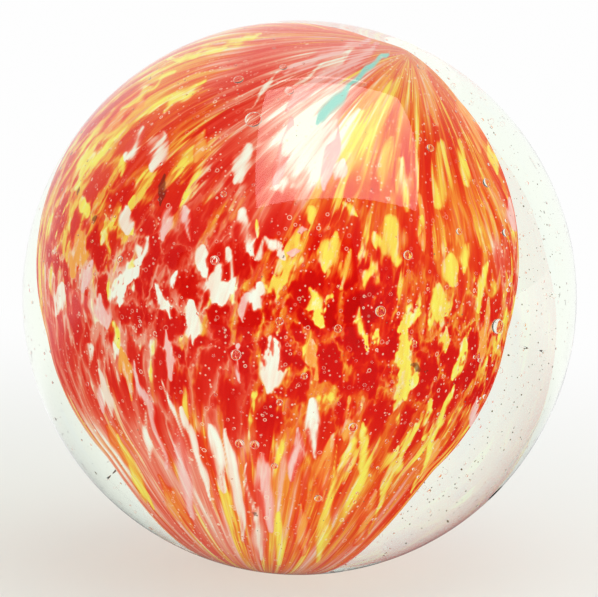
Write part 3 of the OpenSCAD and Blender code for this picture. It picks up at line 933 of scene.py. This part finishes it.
# %% Places of the bubbles
LARGE_BUBBLES = [
    (-3.7, 14.3, 1.3), (-4.9, 17.5, 0.8), (-1.3, 18.5, 0.6), (-0.8, 16.6, 0.7), (9.7, 18.5, 0.6),
    (10.5, 12, 0.6), (15, 9.2, 0.7), (16.5, 5.2, 0.6), (12.8, 5.3, 0.5), (8.7, 3.4, 0.7),
    (-6.8, 3, 0.7), (-6.1, 8.3, 0.5), (-1.6, -1.9, 0.6), (3.1, -2.5, 0.6), (6.5, -1.1, 0.8),
    (-5.1, -4.6, 0.8), (15.9, -2.3, 1.1), (-1.6, -8.4, 0.5), (4.3, -10.4, 0.7), (-3.6, -11.8, 0.7),
    (-2, -13.5, 0.5), (1.5, -16.1, 0.6), (0.4, -6.3, 0.5), (-4.8, -11.7, 0.7), (-14.4, 3.1, 0.5),
]
LARGE_DEPTH = 2.6
TINY_BUBBLES = 1200
TINY_RADII = (0.05, 0.05, 0.07, 0.07, 0.1, 0.13)
SMALLER_OUTSIDE = 0.4
NEAR_CORE = 1.7
CLEAR_SIDE = (0.45, 0.0, -0.25)
CLEAR_OF_CORE, CLEAR_OF_BALL = 0.15, 0.3
ROUND_FACES, ROUGH_FACES = (28, 14), (8, 5)
CHANCE_SEED = 11
random.seed(CHANCE_SEED)


def bubble_shape(segments, rings):
    """A ball one millimetre in radius."""
    bm = bmesh.new()
    bmesh.ops.create_uvsphere(bm, u_segments=segments, v_segments=rings, radius=MM)
    shape = bpy.data.meshes.new("bubble shape")
    bm.to_mesh(shape)
    bm.free()
    return shape


def add_bubble(bm, shape, centre, radius):
    """Adds a copy of the shape, which is far quicker than a new sphere in a large mesh."""
    placed = shape.copy()
    placed.transform(Matrix.Translation(to_object(centre)) @ Matrix.Scale(radius, 4))
    bm.from_mesh(placed)
    bpy.data.meshes.remove(placed)


def way_out():
    """A random way out of the core: where it leaves, its course, and the glass it crosses."""
    way = unit([random.gauss(middle, 1) for middle in CLEAR_SIDE])
    over = surface_along((MIDDLE + 2 * BALL_R * way)[None], -way[None], 0, 2 * BALL_R)[0]
    along = over @ way
    return over, way, math.sqrt(along ** 2 - over @ over + BALL_R ** 2) - along


def tiny_places():
    """Points between the core and the ball's surface, most of them near the core."""
    found = []
    while len(found) < TINY_BUBBLES:
        over, way, room = way_out()
        share = random.random() ** NEAR_CORE
        radius = random.choice(TINY_RADII) * (1 - SMALLER_OUTSIDE * share)
        above = CLEAR_OF_CORE + radius + (room - 2 * CLEAR_OF_BALL) * share
        if above < room - CLEAR_OF_BALL:
            found.append((over + above * way, radius))
    return found


def make_bubbles():
    bm = bmesh.new()
    round_shape, rough_shape = bubble_shape(*ROUND_FACES), bubble_shape(*ROUGH_FACES)
    for x, z, width in LARGE_BUBBLES:
        entry, way, length = sight_line(x, z)
        depth = min(LARGE_DEPTH, length - CLEAR_OF_CORE - width / 2)
        add_bubble(bm, round_shape, entry + depth * way, width / 2)
    for centre, radius in tiny_places():
        add_bubble(bm, rough_shape, centre, radius)
    return finished(bm, "bubbles")


bubbles = make_bubbles()
print(f"bubbles: {len(LARGE_BUBBLES) + TINY_BUBBLES}, {len(bubbles.data.polygons)} faces")

# %% The bubbles' material
BUBBLE_INDEX = 1.18
SHEEN_ROUGHNESS, SHEEN_TINT = 0.35, (1, 0.94, 0.86, 1)


def bubble_material():
    made, tree = new_material("bubble wall")
    finish_as_glass(tree, {
        "Base Color": PLAIN_WHITE, "IOR": BUBBLE_INDEX, "Sheen Weight": 1.0,
        "Sheen Roughness": SHEEN_ROUGHNESS, "Sheen Tint": SHEEN_TINT,
    })
    return made


bubbles.data.materials.append(bubble_material())
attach(bubbles, "root")

# %% [markdown]
# ## Dirt in the glass
# Dark grains of ash were caught in the clear glass. Most are scattered all round, and more are laid
# where the clear glass beside the core shows them. They are tiny, so each is a rough ball of
# twenty faces.

# %% Grains of ash
ASH_GRAINS = 320
ASH_RADII = (0.02, 0.05)
ASH_DEPTH = (0.15, 0.85)
LEAST_ROOM = 2.5
ANYWHERE_ONE_IN = 6
EDGE_GRAINS = 150
EDGE_RADII = (0.03, 0.065)
EDGE_ANGLES = (-65, 50)
EDGE_REACH = (0.8, 0.975)
EDGE_DEPTH = (0.08, 0.75)


def edge_place():
    """A point that is seen in the clear glass beside the core, on the right."""
    while True:
        angle = math.radians(random.uniform(*EDGE_ANGLES))
        reach = random.uniform(*EDGE_REACH) * BALL_R
        entry, way, length = sight_line(reach * math.cos(angle), reach * math.sin(angle))
        spot = entry + random.uniform(*EDGE_DEPTH) * length * way
        if not in_core(np.array([entry + length * way, spot])).any():
            return spot


def add_grain(bm, centre, radius):
    bmesh.ops.create_icosphere(
        bm, subdivisions=1, radius=radius * MM, matrix=Matrix.Translation(to_object(centre))
    )


def make_ash():
    bm = bmesh.new()
    for number in range(ASH_GRAINS):
        over, way, room = way_out()
        while room < LEAST_ROOM and number % ANYWHERE_ONE_IN:
            over, way, room = way_out()
        centre = over + random.uniform(*ASH_DEPTH) * room * way
        add_grain(bm, centre, random.uniform(*ASH_RADII))
    for _ in range(EDGE_GRAINS):
        add_grain(bm, edge_place(), random.uniform(*EDGE_RADII))
    return finished(bm, "ash_grains", smooth=False)


# %% The ash's material
DARK_ASH, PALE_ASH = colour_of(84, 76, 58), colour_of(156, 150, 122)
MOTTLES_PER_METRE = 900.0


def ash_material():
    made, tree = new_material("ash")
    mottle = place(tree, "ShaderNodeTexNoise", {
        "Vector": place_on(tree), "Scale": MOTTLES_PER_METRE
    })
    colour = blend(tree, mottle.outputs["Fac"], DARK_ASH, PALE_ASH)
    finish_with(tree, matte(tree, colour, 0.8))
    return made


ash = make_ash()
ash.data.materials.append(ash_material())
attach(ash, "root")

# %% [markdown]
# ## The studio
# A pale floor runs back and turns up into a backdrop, so that no horizon shows. Glass looks like
# what is round it, so the sky is plain white where the camera sees it, straight or through the
# glass, and dimmer as a source of light. One soft panel hangs over the marble, and its mirror
# image is the bright window on the ball's shoulder. Sizes here are in metres, apart from the
# panel's corners.

# %% Floor and backdrop
FLOOR_HALF = 1.5
BEND, BEND_SEGMENTS = 0.4, 16


def make_floor():
    bm = bmesh.new()
    bmesh.ops.create_grid(
        bm, x_segments=1, y_segments=1, size=FLOOR_HALF,
        matrix=Matrix.Translation((0, 0, -BALL_R * MM)),
    )
    bm.edges.ensure_lookup_table()
    back = max(bm.edges, key=lambda e: e.verts[0].co.y + e.verts[1].co.y)
    lifted = bmesh.ops.extrude_edge_only(bm, edges=[back])["geom"]
    bmesh.ops.translate(
        bm, vec=(0, 0, FLOOR_HALF), verts=[g for g in lifted if isinstance(g, bmesh.types.BMVert)]
    )
    fold = [e for e in bm.edges if len(e.link_faces) == 2]
    bmesh.ops.bevel(
        bm, geom=fold, offset=BEND, affect="EDGES", segments=BEND_SEGMENTS, profile=0.5,
        material=-1,
    )
    bmesh.ops.recalc_face_normals(bm, faces=bm.faces[:])
    return finished(bm, "floor")


def ray_kinds(tree):
    """Tells rays that show the surroundings to the camera, straight or through the glass, and
    rays mirrored by a surface. All others light a surface."""
    path = place(tree, "ShaderNodeLightPath").outputs
    through = path["Is Transmission Ray"]
    shown_by = maths(tree, "MAXIMUM", path["Is Camera Ray"], through)
    unspread = maths(tree, "LESS_THAN", path["Diffuse Depth"], 0.5)
    # A ray that passes through glass counts as a glossy one too
    mirrored = maths(tree, "MULTIPLY", path["Is Glossy Ray"], rest_of(tree, through))
    return maths(tree, "MULTIPLY", shown_by, unspread), mirrored


# %% The floor's material
FLOOR_WHITE = 0.99
FLOOR_LIGHT = 1.25
FLOOR_IN_MIRROR = 0.12
MIRROR_REACH = (0.0, 0.05)
LIGHTING_FLOOR, SHADED_FLOOR = colour_of(246, 244, 238), colour_of(217, 220, 210)
SHADOW_REACH = (0.02, 0.12)
SHADOW_SHIFT = (0.025, 0, 0)
NEAR_BLEACH = 0.3


def floor_material():
    made, tree = new_material("pale floor")
    direct, mirrored = ray_kinds(tree)
    spot = place_on(tree)
    soft = matte(tree, blend(tree, direct, LIGHTING_FLOOR, SHADED_FLOOR), 0.9, 0.1)
    # White away from the marble for the camera, evenly bright where it lights the marble from
    # below, and dim in front of it for mirrored rays
    shifted = place(tree, "ShaderNodeVectorMath", {0: spot, 1: SHADOW_SHIFT})
    away = place(tree, "ShaderNodeVectorMath", {0: shifted.outputs[0]}, operation="LENGTH")
    bleached = step_up(tree, away.outputs["Value"], *SHADOW_REACH, NEAR_BLEACH, 1.0)
    through = place(tree, "ShaderNodeLightPath").outputs["Is Transmission Ray"]
    bleached = maths(tree, "MAXIMUM", bleached, through)
    behind = step_up(
        tree, place(tree, "ShaderNodeSeparateXYZ", {0: spot}).outputs["Y"], *MIRROR_REACH,
        FLOOR_IN_MIRROR, FLOOR_WHITE,
    )
    strength = between(tree, direct, FLOOR_LIGHT, FLOOR_WHITE)
    white = glow(tree, between(tree, mirrored, strength, behind))
    finish_with(tree, place(tree, "ShaderNodeMixShader", {
        0: between(tree, direct, 1.0, bleached), 1: soft.outputs[0], 2: white.outputs[0]
    }))
    return made


floor = make_floor()
floor.data.materials.append(floor_material())

# %% Sky
SKY_LIGHT = 0.75
SKY_GLOSS = (0.15, 0.99)
SKY_TURN = (0.2, 0.7)
SKY_WHITE = 0.99


def make_sky():
    sky = bpy.data.worlds.new("sky")
    sky.use_nodes = True
    tree = sky.node_tree
    tree.nodes.clear()
    direct, mirrored = ray_kinds(tree)
    # Mirrored rays see a dimmer room in front of the marble than behind it
    way = place(tree, "ShaderNodeTexCoord").outputs["Generated"]
    backwards = place(tree, "ShaderNodeSeparateXYZ", {0: way}).outputs["Y"]
    in_mirror = between(tree, backwards, *SKY_GLOSS, *SKY_TURN)
    strength = between(tree, mirrored, SKY_LIGHT, in_mirror)
    light = place(tree, "ShaderNodeBackground", {
        "Color": PLAIN_WHITE, "Strength": between(tree, direct, strength, SKY_WHITE)
    })
    place(tree, "ShaderNodeOutputWorld", {"Surface": light.outputs[0]})
    bpy.context.scene.world = sky


make_sky()

# %% The panel over the marble
PANEL_CORNERS = [(-180, -417, 450), (527, -295, 450), (235, 196, 450), (-73, 108, 450)]
STRIP_CORNERS = [(-50, 143, 450), (150, 200, 450), (148, 209, 450), (-52, 152, 450)]
PANEL_LIGHT, PANEL_IN_MIRROR = 1.9, 3.0
PANEL_WARMTH = (1, 0.99, 0.97, 1)


def make_panel():
    bm = bmesh.new()
    for corners in (PANEL_CORNERS, STRIP_CORNERS):
        bm.faces.new([bm.verts.new(Vector(corner) * MM) for corner in corners])
    bm.normal_update()
    bmesh.ops.reverse_faces(bm, faces=[face for face in bm.faces if face.normal.z > 0])
    return finished(bm, "light_panel", smooth=False)


def lamp_material(name, strength, in_mirror, colour=PLAIN_WHITE):
    """A glow of one strength for what it lights, and of another in mirror images."""
    made, tree = new_material(name)
    mirrored = ray_kinds(tree)[1]
    finish_with(tree, glow(tree, between(tree, mirrored, strength, in_mirror), colour))
    return made


panel = make_panel()
panel.data.materials.append(
    lamp_material("light panel", PANEL_LIGHT, PANEL_IN_MIRROR, PANEL_WARMTH)
)
panel.visible_camera = False

# %% A soft fill from the front
FILL_WIDTH, FILL_HEIGHT = 1.0, 0.4
FILL_ASIDE, FILL_AWAY = -0.25, 0.55
FILL_LIGHT, FILL_IN_MIRROR = 1.0, 0.0


def make_fill():
    bm = bmesh.new()
    bmesh.ops.create_grid(
        bm, x_segments=1, y_segments=1, size=0.5,
        matrix=Matrix.Translation((FILL_ASIDE, -FILL_AWAY, FILL_HEIGHT / 2 - BALL_R * MM))
        @ Matrix.Rotation(-math.pi / 2, 4, "X") @ Matrix.Diagonal((FILL_WIDTH, FILL_HEIGHT, 1, 1)),
    )
    return finished(bm, "fill_panel", smooth=False)


fill = make_fill()
fill.data.materials.append(lamp_material("fill panel", FILL_LIGHT, FILL_IN_MIRROR))
fill.visible_camera = False

# %% [markdown]
# ## Finish
# Colours are to render as they are written, so the view transform is the standard one.

# %% View
bpy.context.scene.view_settings.view_transform = "Standard"
